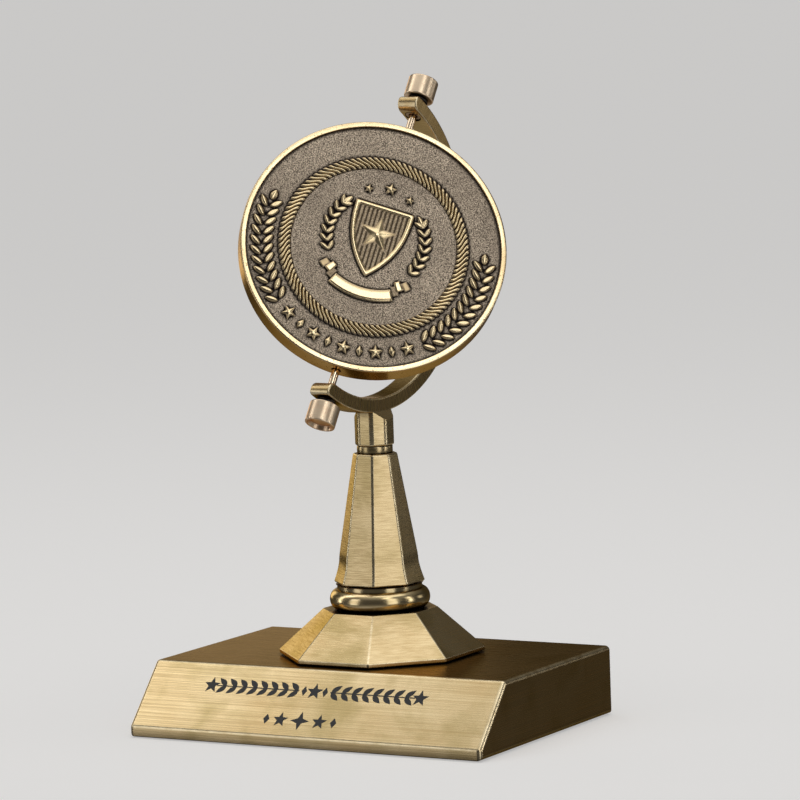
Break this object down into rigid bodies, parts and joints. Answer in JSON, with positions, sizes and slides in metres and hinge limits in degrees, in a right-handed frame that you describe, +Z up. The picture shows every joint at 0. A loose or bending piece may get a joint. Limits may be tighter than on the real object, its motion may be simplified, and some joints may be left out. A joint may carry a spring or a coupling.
{
  "type": "spinning coin trophy",
  "caption": "Round relief coin that spins on a tilted pivot axis in a C-shaped arm, carried by an eight-sided column and foot on a wedge-fronted plinth.",
  "frame": {"origin": "on the resting surface, under the column's axis", "axes": "+Z up, -Y out of the plaque front, +X to the right seen from the front"},
  "size_m": [0.105, 0.0861, 0.1693],
  "materials": {
    "plinth_brass": "horizontally brushed antique brass with black-filled engraving",
    "column_brass": "brushed antique brass with dark grooves",
    "arm_brass": "satin antique brass",
    "rim_brass": "polished brass",
    "coin_brass": "sandblasted dark antique brass with polished relief",
    "rose_copper": "polished rose copper",
    "bush_bronze": "plain turned bronze",
    "bright_steel": "plain zinc-plated steel",
    "plate_steel": "dark phosphated sheet steel",
    "weight_iron": "rough cast iron",
    "black_felt": "pressed felt"
  },
  "bodies": {
    "stand": {"felt_pad": "black_felt", "base_plate": "plate_steel", "base_screw_1": "bright_steel", "base_screw_2": "bright_steel", "base_screw_3": "bright_steel", "base_screw_4": "bright_steel", "plinth_shell": "plinth_brass", "plinth_weight": "weight_iron", "tie_rod": "bright_steel", "tie_washer": "bright_steel", "tie_nut": "bright_steel", "foot": "column_brass", "ring_bead": "column_brass", "column": "column_brass", "neck_ring": "column_brass", "collar": "column_brass", "arm": "arm_brass", "upper_arm_bush": "bush_bronze", "lower_arm_bush": "bush_bronze", "upper_thrust_washer": "bright_steel", "lower_thrust_washer": "bright_steel"},
    "coin": {"coin_rim": "rim_brass", "coin_obverse": "coin_brass", "coin_reverse": "coin_brass", "upper_coin_bush": "bush_bronze", "lower_coin_bush": "bush_bronze"},
    "upper_pivot": {"upper_knob": "rose_copper", "upper_pivot_pin": "rose_copper"},
    "lower_pivot": {"lower_knob": "rose_copper", "lower_pivot_pin": "rose_copper"}
  },
  "joints": [
    {"name": "coin_spin", "type": "hinge", "parent": "stand", "child": "coin", "pos_m": [0, 0.0024, 0.1244], "axis": [0.0345, 0.5332, 0.8453], "continuous": true},
    {"name": "upper_knob_turn", "type": "hinge", "parent": "stand", "child": "upper_pivot", "pos_m": [0.00164, 0.02784, 0.16472], "axis": [0.0345, 0.5332, 0.8453], "continuous": true},
    {"name": "lower_knob_turn", "type": "hinge", "parent": "stand", "child": "lower_pivot", "pos_m": [-0.00164, -0.02304, 0.08408], "axis": [0.0345, 0.5332, 0.8453], "continuous": true}
  ]
}
